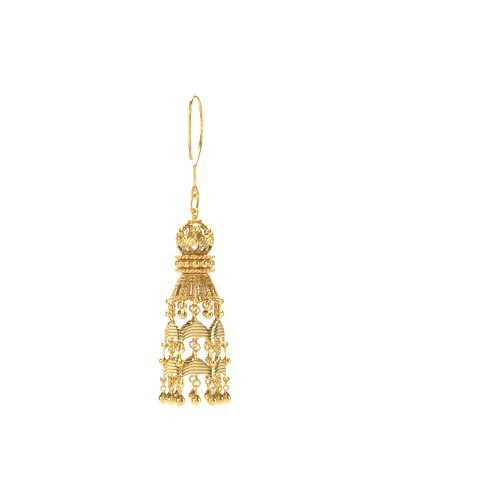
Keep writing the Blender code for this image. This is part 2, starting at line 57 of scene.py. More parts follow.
hook_eye_z = shaft_foot_z - flare_height - eye_radius


class Shade:
    """A value in a material: Python's operators add its Math nodes, and node() adds any other."""

    def __init__(self, tree, socket):
        self.tree = tree
        self.socket = socket

    def node(self, kind, settings=None, sockets=None, out=0):
        made = self.tree.nodes.new(kind)
        settings = dict(settings or {})
        stops = settings.pop("stops", [])
        for name, value in settings.items():
            setattr(made, name, value)
        for index, (place, colour) in enumerate(stops):
            if index > 1:
                made.color_ramp.elements.new(place)
            made.color_ramp.elements[index].position = place
            made.color_ramp.elements[index].color = (*colour, 1.0)
        for name, value in (sockets or {}).items():
            if isinstance(value, Shade):
                self.tree.links.new(value.socket, made.inputs[name])
            else:
                made.inputs[name].default_value = value
        return Shade(self.tree, made.outputs[out])

    def math(self, operation, first, second):
        return self.node("ShaderNodeMath", {"operation": operation}, {0: first, 1: second})

    def __add__(self, other):
        return self.math("ADD", self, other)

    def __radd__(self, other):
        return self.math("ADD", other, self)

    def __sub__(self, other):
        return self.math("SUBTRACT", self, other)

    def __rsub__(self, other):
        return self.math("SUBTRACT", other, self)

    def __mul__(self, other):
        return self.math("MULTIPLY", self, other)

    def __rmul__(self, other):
        return self.math("MULTIPLY", other, self)

    def above(self, low, high):
        """0 below low, 1 above high, and a straight rise between them."""
        limits = {"From Min": low, "From Max": high}
        return self.node("ShaderNodeMapRange", {"clamp": True}, {"Value": self, **limits})


def gold(name, bright, deep, painted_shade, roughness, grain, bump):
    """Yellow gold: bright and deep are its two tones, and recess is the colour of the painted
    shade laid in its hollows and grooves.

    A piece may carry two marks: hollow, 0 to 1 for how sunk a place is, which darkens it with
    painted shade and roughens it, and ribs, which counts the pressed ribs across it, with a groove
    at each whole number that is darkened with painted shade."""
    metal = bpy.data.materials.new(name)
    metal.use_nodes = True
    surface = metal.node_tree.nodes["Principled BSDF"]
    surface.inputs["Metallic"].default_value = 1.0
    start = Shade(metal.node_tree, None)
    place = start.node("ShaderNodeTexCoord", out="Object")
    cloud_sockets = {"Vector": place, "Scale": 320.0, "Detail": 3.0}
    cloud = start.node("ShaderNodeTexNoise", sockets=cloud_sockets)
    grain_sockets = {"Vector": place, "Scale": grain, "Detail": 5.0, "Roughness": 0.65}
    fine = start.node("ShaderNodeTexNoise", sockets=grain_sockets)
    tone = (0.75 * cloud + 0.25 * fine).above(0.36, 0.64)
    stops = [(0.0, deep), (1.0, bright)]
    colour = start.node("ShaderNodeValToRGB", {"stops": stops}, {"Fac": tone})
    hollow = start.node("ShaderNodeAttribute", {"attribute_name": "hollow"}, out="Fac")
    ribs = start.node("ShaderNodeAttribute", {"attribute_name": "ribs"}, out="Fac")
    wave = start.math("ABSOLUTE", start.math("SINE", math.pi * ribs, 0.0), 0.0)
    groove = ribs.above(0.0, 0.2) * (1 - wave.above(0.22, 0.48))
    # Painted shade: the hollow and groove marks lay the dark recess colour over the metal's own
    # tone.
    mixed = {0: start.math("MAXIMUM", hollow, 0.95 * groove), 6: colour, 7: (*painted_shade, 1.0)}
    colour = start.node("ShaderNodeMix", {"data_type": "RGBA"}, mixed, out=2)
    metal.node_tree.links.new(colour.socket, surface.inputs["Base Color"])
    rough = roughness + 0.5 * roughness * (fine.above(0.35, 0.7) - 0.5) + 0.25 * hollow
    metal.node_tree.links.new(rough.socket, surface.inputs["Roughness"])
    height = fine - 1.5 * groove
    bump_sockets = {"Height": height, "Strength": bump, "Distance": 0.00004}
    relief = start.node("ShaderNodeBump", sockets=bump_sockets)
    metal.node_tree.links.new(relief.socket, surface.inputs["Normal"])
    return metal


gold_polished = gold(
    "gold_polished_finish",
    bright=(0.95, 0.73, 0.31),
    deep=(0.83, 0.58, 0.19),
    painted_shade=(0.5, 0.24, 0.04),
    roughness=0.18,
    grain=2600.0,
    bump=0.06,
)


def deselect():
    for obj in bpy.context.selected_objects:
        obj.select_set(False)


def joined(pieces):
    """One mesh object of several ones, finished ones or curves."""
    deselect()
    for piece in pieces:
        piece.select_set(True)
    bpy.context.view_layer.objects.active = pieces[0]
    bpy.ops.object.convert(target="MESH")
    bpy.ops.object.join()
    bpy.ops.object.transform_apply()
    return bpy.context.object


def wire(points, radius, closed=False, steps=4, sides=3, tips=None):
    """A round wire bent through points; tips gives the wire's share at each of them."""
    curve = bpy.data.curves.new("wire", "CURVE")
    curve.dimensions = "3D"
    curve.bevel_depth = radius
    curve.bevel_resolution = sides
    curve.resolution_u = steps
    curve.use_fill_caps = True
    line = curve.splines.new("BEZIER")
    line.use_cyclic_u = closed
    line.bezier_points.add(len(points) - 1)
    for index, (knot, point) in enumerate(zip(line.bezier_points, points)):
        knot.co = point
        knot.handle_left_type = "AUTO"
        knot.handle_right_type = "AUTO"
        if tips:
            knot.radius = tips[index]
    obj = bpy.data.objects.new("wire", curve)
    bpy.context.scene.collection.objects.link(obj)
    return obj


def turned(profile, sides):
    """A solid turned as on a lathe from a profile of radius and height, from the top down."""
    deselect()
    bpy.ops.mesh.primitive_plane_add(size=0.1 * MM, location=(profile[0][0], 0, profile[0][1]))
    bpy.ops.object.transform_apply()
    bpy.ops.object.mode_set(mode="EDIT")
    bpy.ops.mesh.select_mode(type="VERT")
    bpy.ops.mesh.select_all(action="SELECT")
    bpy.ops.mesh.merge(type="CENTER")
    for (radius, height), (next_radius, next_height) in zip(profile, profile[1:]):
        step = {"value": (next_radius - radius, 0, next_height - height)}
        bpy.ops.mesh.extrude_vertices_move(TRANSFORM_OT_translate=step)
    bpy.ops.mesh.select_all(action="SELECT")
    bpy.ops.mesh.spin(steps=sides, angle=math.tau, center=(0, 0, 0), axis=(0, 0, 1))
    bpy.ops.mesh.select_all(action="SELECT")
    bpy.ops.mesh.remove_doubles(threshold=0.000004)
    bpy.ops.mesh.normals_make_consistent(inside=False)
    bpy.ops.object.mode_set(mode="OBJECT")
    return bpy.context.object


def smooth(obj, degrees=40):
    deselect()
    obj.select_set(True)
    bpy.context.view_layer.objects.active = obj
    bpy.ops.object.shade_smooth_by_angle(angle=math.radians(degrees))


def dressed(obj, name, metal, body, *nodes):
    """The finished piece: its name, metal and body, and the nodes that it stands for."""
    obj.name = name
    obj.data.name = name
    obj.data.materials.clear()
    obj.data.materials.append(metal)
    smooth(obj)
    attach(obj, body)
    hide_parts(*nodes)
    return obj


def mark_shaded_hollows(obj, depth):
    """Marks how deep in a hollow each place of the piece lies, from 0 to 1; its metal darkens such
    places with painted shade and roughens them.
    """
    marks = obj.data.attributes.new("hollow", "FLOAT", "POINT")
    for corner, mark in zip(obj.data.vertices, marks.data):
        mark.value = min(1.0, max(0.0, depth(corner.co)))


def soldered_eye(height):
    """A round eye of gold wire at this height, turned to take the swing link."""
    deselect()
    bpy.ops.mesh.primitive_torus_add(
        location=(0, 0, height),
        rotation=(math.pi / 2, 0, eye_plane),
        major_segments=40,
        minor_segments=14,
        major_radius=eye_radius,
        minor_radius=eye_wire_shown,
    )
    return bpy.context.object


# The bow from the shaft's head over the arch to the free end: how far out, and how far down.
hook_out = [0, 0.01, 0.3, 0.68, 0.95, 1.0, 0.88, 0.54, 0, -0.56, -0.9, -1.0, -0.97, -0.72]
hook_down = [1.1, 1.0, 0.89, 0.74, 0.55, 0.4, 0.18, 0.045, 0, 0.045, 0.2, 0.48, 0.72, 0.9]
bow_reach = 6.6 * MM
tail_reach = 4.5 * MM
tip_share = 0.72
hook_line = [Vector((0, 0, shaft_foot_z - solder))]
for out, down in zip(hook_out, hook_down):
    reach = out * (bow_reach if out > 0 else tail_reach)
    along = Vector((reach * math.cos(hook_plane), reach * math.sin(hook_plane), 0))
    hook_line.append(along + Vector((0, 0, hook_wire - down * hook_drop)))
hook_tip = hook_line[-1] + 0.04 * (hook_line[-1] - hook_line[-2])
hook_tips = [1.0] * len(hook_line) + [tip_share]
bend = wire([*hook_line, hook_tip], hook_wire, steps=8, sides=5, tips=hook_tips)
flare_profile = [
    (0, 0.4),
    (0.47, 0.35),
    (0.5, 0.1),
    (0.56, -0.1),
    (0.72, -0.38),
    (0.88, -0.56),
    (0.93, -0.66),
    (0.9, -0.76),
    (0.78, -0.86),
    (0.5, -0.92),
    (0, -0.94),
]
flare = turned([(radius * MM, shaft_foot_z + height * MM) for radius, height in flare_profile], 40)
hook_eye = soldered_eye(hook_eye_z)
dressed(joined([bend, flare, hook_eye]), "ear_wire", gold_polished, "hook", "ear_hook")

# Swing link: a long link of round gold wire, soldered shut, that joins the hook's eye to the
# cap's eye and lets the drop swing both ways.
link_wire = 0.33 * MM
link_wire_shown = 1.15 * link_wire
link_length = 4.6 * MM
link_play = 0.1 * MM
link_top_z = hook_eye_z - eye_radius + eye_wire + link_wire + link_play
link_foot_z = link_top_z - link_length
link_half_width = 1.0 * MM
link_along = Vector((math.cos(eye_plane + math.pi / 2), math.sin(eye_plane + math.pi / 2), 0))
link_line = []
for end_z, start in ((link_top_z - link_half_width, 0), (link_foot_z + link_half_width, 180)):
    for step in range(7):
        angle = math.radians(start + 30 * step)
        rise = Vector((0, 0, end_z + link_half_width * math.sin(angle)))
        link_line.append(rise + link_half_width * math.cos(angle) * link_along)
link = joined([wire(link_line, link_wire_shown, closed=True, steps=4, sides=4)])
link_middle = Matrix.Translation((0, 0, (link_top_z + link_foot_z) / 2))
link_turn = Matrix.Rotation(math.radians(-12), 4, "Z")
link_lean = Matrix.Rotation(math.radians(10), 4, Vector((0, 0, 1)).cross(link_along))
link.data.transform(link_middle @ link_turn @ link_lean @ link_middle.inverted())
dressed(link, "long_link", gold_polished, "link", "swing_link")

# Cap: a turned gold neck and a milled flange, soldered on the head of the ball, with a round eye
# on top for the link.
neck_height = 0.9 * MM
flange_height = 0.8 * MM
flange_mills = 30
mill_reach = 1.8 * MM
cap_eye_z = link_foot_z + eye_wire + link_wire + link_play - eye_radius
neck_top_z = cap_eye_z - eye_radius
flange_top_z = neck_top_z - neck_height
flange_foot_z = flange_top_z - flange_height
cap_profile = [
    (0, 0.12),
    (0.62, 0.1),
    (0.86, 0.02),
    (0.96, -0.12),
    (0.9, -0.3),
    (0.74, -0.42),
    (0.72, -0.58),
    (0.84, -0.72),
    (1.3, -0.84),
    (1.66, -0.92),
    (1.8, -1.06),
    (1.84, -1.26),
    (1.76, -1.44),
    (1.58, -1.52),
    (1.5, -1.7),
    (0, -1.7),
]
cap = turned([(radius * MM, neck_top_z + height * MM) for radius, height in cap_profile], 48)
cap_pieces = [cap, soldered_eye(cap_eye_z)]
mill_z = flange_top_z - 0.32 * MM
for index in range(flange_mills):
    turn = math.tau * index / flange_mills
    deselect()
    bpy.ops.mesh.primitive_uv_sphere_add(
        segments=8,
        ring_count=6,
        radius=0.17 * MM,
        location=(mill_reach * math.sin(turn), -mill_reach * math.cos(turn), mill_z),
    )
    bpy.context.object.scale = (0.8, 0.8, 1.5)
    cap_pieces.append(bpy.context.object)
cap = joined(cap_pieces)

# Openwork ball: two pressed half balls pierced with six large scrolled openings above and a ring
# of small ones below, overlaid with soldered wire scrolls, a band of leaves and grains of gold.
sides = 6
ball_radius = 4.9 * MM
ball_head_radius = 1.45 * MM
ball_foot_radius = 3.3 * MM
flange_sink = 0.24 * MM
shell_depth = 0.2 * MM
shell_wall = 0.42 * MM
pierce_depth = 2.4 * MM
foot_opening = 3.2 * MM
foot_opening_drop = 4.6 * MM
ball_head = math.asin(ball_head_radius / ball_radius)
ball_z = flange_foot_z + flange_sink - ball_radius * math.cos(ball_head)


def on_ball(turn, polar, lift=0.0):
    """The place on the ball at a turn from the front and an angle from the top, in degrees."""
    turn, polar = math.radians(turn), math.radians(polar)
    reach = (ball_radius + lift) * math.sin(polar)
    height = ball_z + (ball_radius + lift) * math.cos(polar)
    return Vector((reach * math.sin(turn), -reach * math.cos(turn), height))


def upright(turn, polar, lift=0.0, spin=0.0):
    """Stands a piece on the ball with its Z outwards, its Y up the ball, and spun on itself."""
    out = (on_ball(turn, polar, lift) - Vector((0, 0, ball_z))).normalized()
    right = Vector((math.cos(math.radians(turn)), math.sin(math.radians(turn)), 0))
    axes = Matrix((right, out.cross(right), out)).transposed().to_4x4()
    turned_axes = axes @ Matrix.Rotation(math.radians(spin), 4, "Z")
    return Matrix.Translation(on_ball(turn, polar, lift)) @ turned_axes


def ring_on_ball(turn, polar, radius, thickness, lift):
    """A wire ring laid flat on the ball."""
    deselect()
    bpy.ops.mesh.primitive_torus_add(
        major_segments=20, minor_segments=6, major_radius=radius, minor_radius=thickness
    )
    bpy.context.object.matrix_world = upright(turn, polar, lift)
    return bpy.context.object


def grain_on_ball(turn, polar, radii, lift, spin=0.0, segments=10):
    """A grain, leaf or boss: a small ball drawn out to its half width, height and rise."""
    deselect()
    bpy.ops.mesh.primitive_uv_sphere_add(segments=segments, ring_count=segments - 2, radius=1.0)
    stretch = Matrix.Diagonal((*radii, 1.0))
    bpy.context.object.matrix_world = upright(turn, polar, lift, spin) @ stretch
    return bpy.context.object


def round_copies(obj, count):
    """The piece with its own copies, turned about the earring's axis into a full ring."""
    ring = []
    for index in range(count):
        copy = bpy.data.objects.new(obj.name, obj.data.copy())
        copy.data.transform(Matrix.Rotation(math.tau * index / count, 4, "Z"))
        bpy.context.scene.collection.objects.link(copy)
        ring.append(copy)
    bpy.data.objects.remove(obj)
    return joined(ring)


deselect()
bpy.ops.mesh.primitive_uv_sphere_add(
    segments=96, ring_count=64, radius=ball_radius - shell_depth, location=(0, 0, ball_z)
)
shell = joined([bpy.context.object])
deselect()
hollow_radius = ball_radius - shell_depth - shell_wall
bpy.ops.mesh.primitive_uv_sphere_add(
    segments=64, ring_count=40, radius=hollow_radius, location=(0, 0, ball_z)
)
hollow = joined([bpy.context.object])
# Each piercing of a sixth: its turn and its angle from the top, its radius in mm, its corners.
piercings = [
    (30, 61, 1.25, 24),
    (30, 122, 0.8, 20),
    (0, 71, 0.56, 3),
    (-14.5, 36, 0.34, 12),
    (14.5, 36, 0.34, 12),
    (-6.2, 113, 0.62, 16),
    (6.2, 113, 0.62, 16),
    (0, 120, 0.86, 3),
    (-16, 136, 0.36, 12),
    (16, 136, 0.36, 12),
    (0, 136.5, 0.24, 10),
]
cutters = [hollow]
for turn, polar, radius, corners in piercings:
    for side in range(sides):
        deselect()
        bpy.ops.mesh.primitive_cylinder_add(
            vertices=corners, radius=radius * MM, depth=pierce_depth, end_fill_type="NGON"
        )
        bpy.context.object.matrix_world = upright(turn + 360 / sides * side, polar)
        cutters.append(joined([bpy.context.object]))
deselect()
bpy.ops.mesh.primitive_cylinder_add(
    vertices=64,
    radius=foot_opening,
    depth=pierce_depth,
    location=(0, 0, ball_z - foot_opening_drop),
)
cutters.append(joined([bpy.context.object]))
for cutter in cutters:
    pierce = shell.modifiers.new("pierce", "BOOLEAN")
    pierce.operation = "DIFFERENCE"
    pierce.object = cutter
    deselect()
    shell.select_set(True)
    bpy.context.view_layer.objects.active = shell
    bpy.ops.object.modifier_apply(modifier="pierce")
    bpy.data.objects.remove(cutter)

# The wire scrolls of half a sixth, as turns and angles from the top; mirrored for the other half.
scroll = [(0, 79), (6, 69), (11, 76), (18, 80), (27, 81), (30, 81)]
brow = [(3, 62), (7, 54), (12, 46), (20, 41.5), (27, 40), (30, 40)]
crown = [(0, 30), (4.5, 36), (7.5, 42), (6, 48), (3, 51), (0, 56)]
heart = [(0, 134), (6.5, 126), (14, 114), (12.5, 105.5), (5, 103.5), (0, 107)]
wave = [(14, 114), (16.5, 121), (15, 128), (9.5, 132), (9, 138), (15, 142)]
tail = [(15, 142), (21, 139), (22, 133), (18.5, 130), (15.5, 132)]
spray = [(20, 142), (24, 137), (28, 135.5), (30, 135)]
curl = [(22, 72), (16.5, 61), (22, 49), (33, 46.5), (42, 54), (42, 65), (35, 69), (31, 64)]
curl += [(34, 59)]
leaf = (0.47 * MM, 1.5 * MM, 0.27 * MM)
leaf_slant = -36
boss = (0.6 * MM, 0.85 * MM, 0.4 * MM)
bud = (0.26 * MM, 0.5 * MM, 0.3 * MM)
overlay_sink = -0.04 * MM
motif = []
for path, thickness in (
    (scroll, 0.15),
    (brow, 0.17),
    (crown, 0.15),
    (heart, 0.17),
    (wave, 0.16),
    (tail, 0.14),
    (spray, 0.14),
):
    for mirror in (-1, 1):
        points = [on_ball(mirror * turn, polar, overlay_sink) for turn, polar in path]
        motif.append(wire(points, thickness * MM, steps=3, sides=1))
for turn in (-8, -4, 0, 4, 8):
    rib = [on_ball(turn * (0.6 + polar / 90), polar, -0.02 * MM) for polar in range(20, 50, 6)]
    motif.append(wire(rib, 0.15 * MM, steps=3, sides=1))
motif.append(ring_on_ball(30, 61, 1.3 * MM, 0.16 * MM, -0.1 * MM))
motif.append(ring_on_ball(30, 122, 0.88 * MM, 0.15 * MM, -0.08 * MM))
for step in range(4):
    turn = 12 + 12 * step
    motif.append(grain_on_ball(turn, 95, leaf, -0.14 * MM, leaf_slant, 14))
motif.append(grain_on_ball(0, 97, boss, -0.08 * MM, 0, 16))
motif.append(grain_on_ball(0, 85, bud, -0.06 * MM, 0, 12))
for mirror in (-1, 1):
    motif.append(grain_on_ball(13.4 * mirror, 132.5, (0.2 * MM,) * 3, 0.0))
overlay = round_copies(joined(motif), sides)
curls = []
for mirror in (-1, 1):
    points = [on_ball(mirror * turn, polar, -0.06 * MM) for turn, polar in curl]
    curls.append(wire(points, 0.14 * MM, steps=4, sides=1))
    curls.append(grain_on_ball(34 * mirror, 59, (0.26 * MM,) * 3, -0.06 * MM))
curls = round_copies(joined(curls), 3)
bands = []
for polar, thickness in ((19.5, 0.17), (137.2, 0.18)):
    rounds = [on_ball(turn, polar, 0.02 * MM) for turn in range(0, 360, 15)]
    bands.append(wire(rounds, thickness * MM, True, 4, 1))
openwork = joined([shell, overlay, curls, *bands])
# Painted shade: faces sunk below the ball's outer skin darken towards the recess colour.
bright_radius = 4.86 * MM
sunk = 0.3 * MM
mark_shaded_hollows(openwork, lambda at: (bright_radius - (at - Vector((0, 0, ball_z))).length) / sunk)
openwork = joined([openwork, cap])
gold_filigree = gold(
    "gold_filigree_finish",
    bright=(0.99, 0.77, 0.35),
    deep=(0.94, 0.67, 0.25),
    painted_shade=(0.66, 0.36, 0.1),
    roughness=0.22,
    grain=2400.0,
    bump=0.2,
)
dressed(openwork, "openwork_ball_and_cap", gold_filigree, "drop", "openwork_ball")

# Bead collar: a turned gold spool that threads between ball and skirt, with one thick twisted wire
# round each of its two rims. Twelve hollow gold beads are soldered round its waist, with a short
# link between each two.
thread_gap = 0.3 * MM
collar_height = 4.6 * MM
rim_reach = 4.9 * MM
rim_rise = 1.76 * MM
rope_strand = (0.42 * MM, 0.44 * MM, 0.62 * MM)
rope_strands = 28
rope_lean = 42
bead_reach = 4.32 * MM
bead = (1.16 * MM, 0.97 * MM, 1.14 * MM)
bead_count = 12
bead_link_reach = 4.55 * MM
bead_link = (0.36 * MM, 0.46 * MM, 0.7 * MM)
collar_bright_reach = 4.6 * MM
collar_sunk = 0.5 * MM
ball_foot_z = ball_z - math.sqrt(ball_radius**2 - ball_foot_radius**2)
collar_top_z = ball_foot_z - thread_gap
collar_foot_z = collar_top_z - collar_height
waist_z = (collar_top_z + collar_foot_z) / 2
half_spool = [
    (2.6, 2.72),
    (3.05, 2.72),
    (3.2, 2.5),
    (3.3, 2.32),
    (4.6, 2.26),
    (4.68, 2.0),
    (4.68, 1.6),
    (4.5, 1.4),
    (4.25, 1.3),
    (4.15, 1.15),
    (4.25, 1.0),
    (4.35, 0.4),
]
spool_profile = half_spool + [(radius, -height) for radius, height in reversed(half_spool)]
spool_profile += [(2.6, 2.72)]
spool = turned([(radius * MM, waist_z + height * MM) for radius, height in spool_profile], 96)
collar_pieces = [spool]


def studs(count, reach, height, radii, lean, segments):
    """A ring of small grains round the earring's axis, each leaning in its own tangent plane."""
    deselect()
    bpy.ops.mesh.primitive_uv_sphere_add(segments=segments, ring_count=segments - 2, radius=1.0)
    shape = Matrix.Rotation(math.radians(lean), 4, "Y") @ Matrix.Diagonal((*radii, 1.0))
    bpy.context.object.matrix_world = Matrix.Translation((0, -reach, height)) @ shape
    return round_copies(joined([bpy.context.object]), count)


for side in (-1, 1):
    rim_z = waist_z + side * rim_rise
    collar_pieces.append(studs(rope_strands, rim_reach, rim_z, rope_strand, rope_lean, 14))
beads = studs(bead_count, bead_reach, waist_z, bead, 0, 24)
links = studs(bead_count, bead_link_reach, waist_z, bead_link, 0, 12)
links.data.transform(Matrix.Rotation(math.pi / bead_count, 4, "Z"))
collar = joined([*collar_pieces, beads, links])
# Painted shade: the collar's waist, inward of its beads and rims, darkens towards the recess
# colour.
mark_shaded_hollows(collar, lambda at: (collar_bright_reach - at.xy.length) / collar_sunk)
dressed(collar, "beaded_collar", gold_filigree, "drop", "bead_collar")

# Woven skirt: fine gold wire looped through itself into a dense mesh of eighteen soft strands,
# parted by slits half-way down and drawn out below into six points edged with a plain wire.
strands = 18
skirt_top_z = collar_foot_z - thread_gap
skirt_height = 6.7 * MM
skirt_tab = 0.95 * MM
skirt_tab_half_turn = math.radians(22.2)
skirt_head_radius = 3.32 * MM
skirt_flare = 3.66 * MM
tier_1_reach = 6.8 * MM
strand_phase = math.radians(-3.2)
strand_swell = 0.22 * MM
strand_sink = 0.08 * MM
slit_top = 2.4 * MM
slit_length = 3.2 * MM
row_count = 18
row_pitch = 0.44 * MM
stitch_pitch = 0.5 * MM
stitch_radius = 0.18 * MM
stitch_wire = 0.1 * MM
stitch_margin = 0.12 * MM
stitch_lean = 38
stitch_tip = 24
lining_depth = 0.24 * MM
lining_wall = 0.22 * MM
edge_wire = 0.25 * MM
head_wire = 0.2 * MM


def edge_drop(turn):
    """How far below the skirt's top its pointed lower edge runs, at a turn in radians."""
    away = abs((turn + math.pi / sides) % (math.tau / sides) - math.pi / sides)
    return skirt_height + skirt_tab * max(0.0, 1 - away / skirt_tab_half_turn) ** 1.15


def strand_place(turn):
    """-1 to 1 across the strand that this turn is on, 0 along its middle."""
    width = math.tau / strands
    return 2 * (((turn - strand_phase + width / 2) % width) / width) - 1


def skirt_reach(drop):
    """The skirt's radius this far below its top."""
    return skirt_head_radius + skirt_flare * (drop / (skirt_height + skirt_tab)) ** 0.95


def on_skirt(turn, drop, lift=0.0):
    """A place on the skirt's rounded strands, which flatten out towards its foot."""
    share = drop / (skirt_height + skirt_tab)
    fullness = 1 - 0.75 * max(0.0, share - 0.35) / 0.65
    swell = strand_swell * fullness * math.sqrt(1 - strand_place(turn) ** 2) - strand_sink
    reach = skirt_reach(drop) + swell + lift
    return Vector((reach * math.sin(turn), -reach * math.cos(turn), skirt_top_z - drop))


def in_slit(turn, drop, margin=0.0):
    """Whether a place on the skirt falls in one of the slits between its strands."""
    along = (drop - slit_top) / slit_length
    if not 0 < along < 1:
        return False
    half_width = (0.1 + 0.11 * math.sin(math.pi * along)) * MM + margin
    return (1 - abs(strand_place(turn))) * skirt_reach(drop) * math.pi / strands < half_width


deselect()
bpy.ops.mesh.primitive_grid_add(x_subdivisions=216, y_subdivisions=30, size=1.0)
lining = bpy.context.object
for corner in lining.data.vertices:
    turn = (corner.co.x + 0.5) * math.tau
    drop = (0.5 - corner.co.y) * edge_drop(turn)
    corner.co = on_skirt(turn, drop, -lining_depth)
bpy.ops.object.mode_set(mode="EDIT")
bpy.ops.mesh.select_all(action="SELECT")
bpy.ops.mesh.remove_doubles(threshold=0.00001)
bpy.ops.mesh.normals_make_consistent(inside=False)
bpy.ops.mesh.select_mode(type="FACE")
bpy.ops.mesh.select_all(action="DESELECT")
bpy.ops.object.mode_set(mode="OBJECT")
for face in lining.data.polygons:
    middle = face.center
    turn = math.atan2(middle.x, -middle.y)
    face.select = in_slit(turn, skirt_top_z - middle.z)
bpy.ops.object.mode_set(mode="EDIT")
bpy.ops.mesh.delete(type="FACE")
bpy.ops.object.mode_set(mode="OBJECT")
wall = lining.modifiers.new("wall", "SOLIDIFY")
wall.thickness = lining_wall
wall.offset = -1
bpy.ops.object.modifier_apply(modifier="wall")
# Painted shade: the whole lining takes the dark recess colour, a dark sheet seen through the
# weave.
mark_shaded_hollows(lining, lambda at: 1.0)

deselect()
bpy.ops.mesh.primitive_torus_add(
    major_segments=10, minor_segments=5, major_radius=stitch_radius, minor_radius=stitch_wire
)
stitch = bpy.context.object
bpy.ops.object.mode_set(mode="EDIT")
bpy.ops.mesh.select_all(action="SELECT")
bpy.ops.transform.resize(value=(0.95, 1.12, 1.2))
bpy.ops.object.mode_set(mode="OBJECT")
stitches = []
for row in range(row_count):
    drop = (row + 0.45) * row_pitch
    per_strand = round(math.tau * skirt_reach(drop) / strands / stitch_pitch)
    count = strands * per_strand
    for index in range(count):
        turn = strand_phase + math.tau * (index + (0.5 * row) % 1 - per_strand / 2) / count
        past_edge = drop > edge_drop(turn) - stitch_margin
        if past_edge or in_slit(turn, drop, stitch_margin):
            continue
        centre = on_skirt(turn, drop)
        down = (on_skirt(turn, drop + 0.1 * MM) - centre).normalized()
        right = (on_skirt(turn + 0.02, drop) - centre).normalized()
        axes = Matrix((right, -down, right.cross(-down))).transposed().to_4x4()
        slant = stitch_lean if (index + row) % 2 else -stitch_lean
        lean = Matrix.Rotation(math.radians(slant), 4, "Z")
        tip = Matrix.Rotation(math.radians(stitch_tip), 4, "X")
        copy = bpy.data.objects.new("stitch", stitch.data.copy())
        copy.data.transform(Matrix.Translation(centre) @ axes @ lean @ tip)
        bpy.context.scene.collection.objects.link(copy)
        stitches.append(copy)
bpy.data.objects.remove(stitch)
weave = joined(stitches)
edge_turns = [math.radians(angle) for angle in range(0, 360, 5)]
edge_line = [on_skirt(turn, edge_drop(turn) - 0.05 * MM, -0.12 * MM) for turn in edge_turns]
head_line = [on_skirt(turn, 0.1 * MM, -0.06 * MM) for turn in edge_turns]
edges = [wire(edge_line, edge_wire, True, 2, 2), wire(head_line, head_wire, True, 2, 2)]
lug_half_height = 0.75 * MM * math.sin(math.radians(60))
lug_radius = 0.69 * MM
lug_wire = 0.25 * MM
lug_narrowing = 0.95


def lug(reach, turn, height, lean=0.0):
    """A small oval loop soldered edge-on to the front, for a jump ring to hang through."""
    deselect()
    bpy.ops.mesh.primitive_torus_add(
        major_segments=20, minor_segments=8, major_radius=lug_radius, minor_radius=lug_wire
    )
    oval = Matrix.Diagonal((lug_narrowing, 1.0, 1.0, 1.0))
    stand = Matrix.Rotation(math.pi / 2, 4, "Y") @ oval
    place = Matrix.Translation((reach * math.sin(turn), -reach * math.cos(turn), height))
    bpy.context.object.matrix_world = place @ Matrix.Rotation(turn + lean, 4, "Z") @ stand
    return joined([bpy.context.object])


corner_turn = math.pi / sides
arch_reach = tier_1_reach - 0.15 * MM
tab_lug_z = skirt_top_z - skirt_height - skirt_tab - lug_half_height + solder
arch_lug_z = tab_lug_z + skirt_tab
skirt_lugs = []
for side in range(sides):
    turn = math.tau * side / sides
    skirt_lugs.append(lug(tier_1_reach, turn, tab_lug_z))
    skirt_lugs.append(lug(arch_reach, turn + corner_turn, arch_lug_z))
gold_woven = gold(
    "gold_woven_finish",
    bright=(0.99, 0.76, 0.34),
    deep=(0.93, 0.64, 0.22),
    painted_shade=(0.48, 0.22, 0.05),
    roughness=0.18,
    grain=3000.0,
    bump=0.3,
)
skirt = joined([weave, lining, *edges, *skirt_lugs])
dressed(skirt, "woven_loop_skirt", gold_woven, "drop", "woven_skirt")

# Jump rings: round gold wire bent into a ring and closed on the loop above and the loop below it.
# One hangs from each tab of the skirt, and one from each point of the upper plates.
ring_radius = 0.935 * MM
ring_wire = 0.24 * MM
ring_wire_shown = 1.2 * ring_wire
ring_overlap = ring_wire + 0.27 * MM
ring_below_lug = lug_half_height - ring_overlap + ring_radius
tab_ring_z = tab_lug_z - ring_below_lug


def jump_ring():
    """A ring facing the front, its centre at the origin."""
    deselect()
    bpy.ops.mesh.primitive_torus_add(
        rotation=(math.pi / 2, 0, 0),
        major_segments=36,
        minor_segments=12,
        major_radius=ring_radius,
        minor_radius=ring_wire_shown,
    )
    return joined([bpy.context.object])


def hung(piece, name, metal, nodes, reach, height, first_turn=0.0):
    """Six copies of a piece round the tassel, the first at first_turn from the front."""
    for side in range(sides):
        turn = first_turn + math.tau * side / sides
        place = Matrix.Translation((reach * math.sin(turn), -reach * math.cos(turn), height))
        copy = bpy.data.objects.new(name, piece.data.copy())
        copy.data.transform(place @ Matrix.Rotation(turn, 4, "Z"))
        bpy.context.scene.collection.objects.link(copy)
        dressed(copy, f"{name}_{side + 1}", metal, "drop", f"{nodes}_{side + 1}")
    bpy.data.objects.remove(piece)


hung(jump_ring(), "ring_at_tab", gold_polished, "tab_ring", tier_1_reach, tab_ring_z)

# Upper plates: gold sheet pressed with level ribs and one upright crease, cut to a crescent with
# an arched head, two horns and a point between them. A looped post is soldered on the head, and a
# small wire loop below the point and below each horn.
plate_gap = 0.5 * MM
plate_hang = 2.45 * MM
point_half = 0.45
rib_pitch = 0.8 * MM
rib_rise = 0.17 * MM
crease = -0.35
crease_slant = 1.0 * MM
flank_back = 0.22 * MM
plate_bow = 0.12 * MM
plate_wall = 0.34 * MM
plate_edge_round = 0.07 * MM
horn_inset = 0.45 * MM
horn_loop_out = 0.2 * MM
upper_height = 4.2 * MM
upper_horn = 1.6 * MM


def corner_reach(apothem):
    """How far from the axis the horns of two neighbouring plates meet in one ring."""
    beside = horn_inset * math.sin(corner_turn)
    return (apothem + horn_loop_out - beside) / math.cos(corner_turn)


